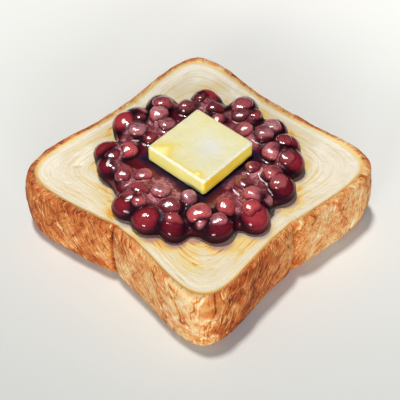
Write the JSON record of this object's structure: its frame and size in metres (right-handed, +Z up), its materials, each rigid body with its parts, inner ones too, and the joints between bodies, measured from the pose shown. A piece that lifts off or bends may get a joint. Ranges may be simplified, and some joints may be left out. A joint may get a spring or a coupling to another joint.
{
  "type": "buttered toast with sweet red beans",
  "caption": "Thick square slice of toasted milk bread lying flat, with a round heap of glossy sweet red beans and a square pat of butter on top; a food item to serve and eat.",
  "frame": {"origin": "middle of the slice's flat underside, at the centre of the model's box", "axes": "+Z up, across the slice's thickness; the slice's sides face along X and Y, and the two sides with a sharp fold face -Y and +X"},
  "size_m": [0.1128, 0.1132, 0.0436],
  "materials": {
    "toast": "dry toasted bread: pale cream crumb inside an orange-brown crust",
    "beans": "wet and glossy, maroon beans in dark syrup",
    "butter": "soft waxy sheen, pale yellow"
  },
  "bodies": {
    "root": {"toast": "toast", "bean_heap": "beans", "butter": "butter"}
  },
  "joints": []
}
